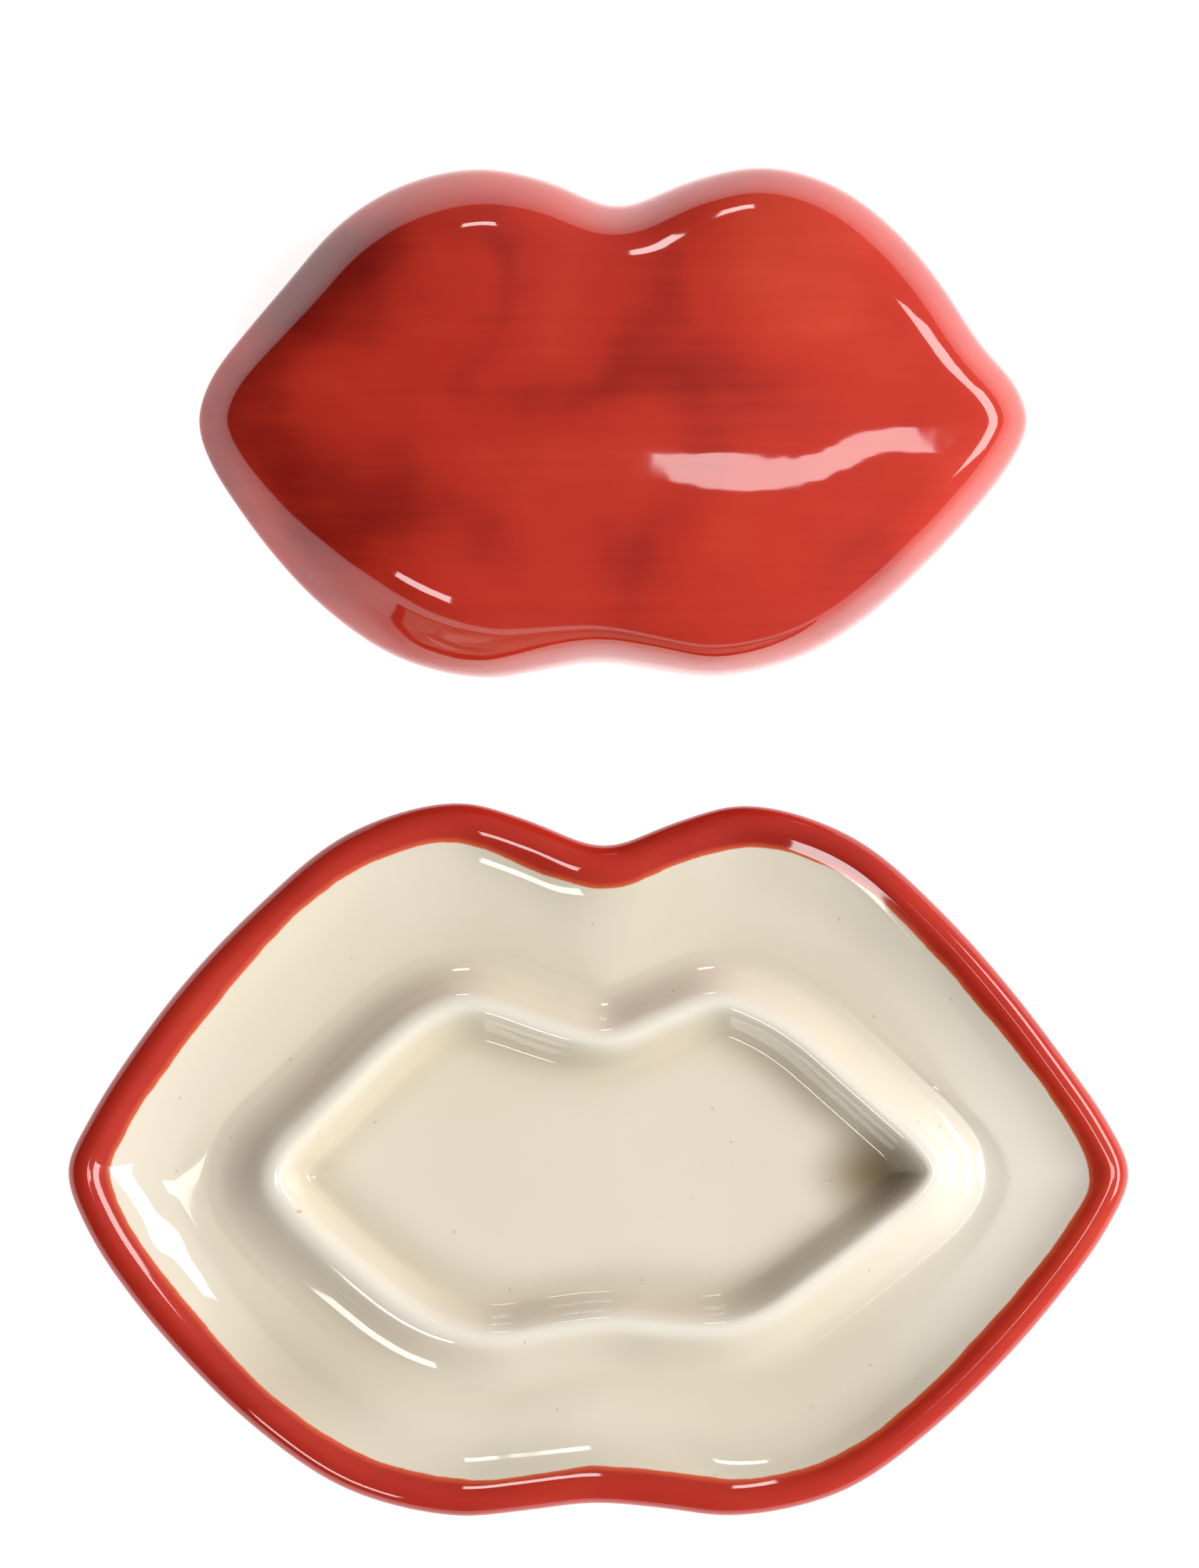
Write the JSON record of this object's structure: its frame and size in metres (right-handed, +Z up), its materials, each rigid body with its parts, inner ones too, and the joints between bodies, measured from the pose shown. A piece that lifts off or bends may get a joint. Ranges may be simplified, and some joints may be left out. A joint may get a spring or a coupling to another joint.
{
  "type": "covered dish",
  "caption": "Lip-shaped covered dish in glazed earthenware: a shallow dish with a rolled rim, a ridge round a central well, and a hollow domed lid that stands beside it.",
  "frame": {"origin": "centre of the dish's foot, on the table that both pieces stand on", "axes": "+X along the mouth from its left corner to its right, +Y from the lower lip to the upper lip, towards the lid that stands behind the dish, +Z up"},
  "size_m": [0.2, 0.254, 0.05],
  "materials": {
    "dish_glaze": "gloss cream glaze over a shallow dish whose rolled rim is brushed with red glaze",
    "lid_glaze": "gloss red glaze brushed in long horizontal strokes, thinner and paler where it breaks over high spots"
  },
  "bodies": {
    "dish": {"dish": "dish_glaze"},
    "lid": {"lid": "lid_glaze"}
  },
  "joints": [
    {"name": "lid_lift", "type": "slide", "parent": "dish", "child": "lid", "axis": [0, 0, 1], "range_m": [0, 0.1]}
  ]
}
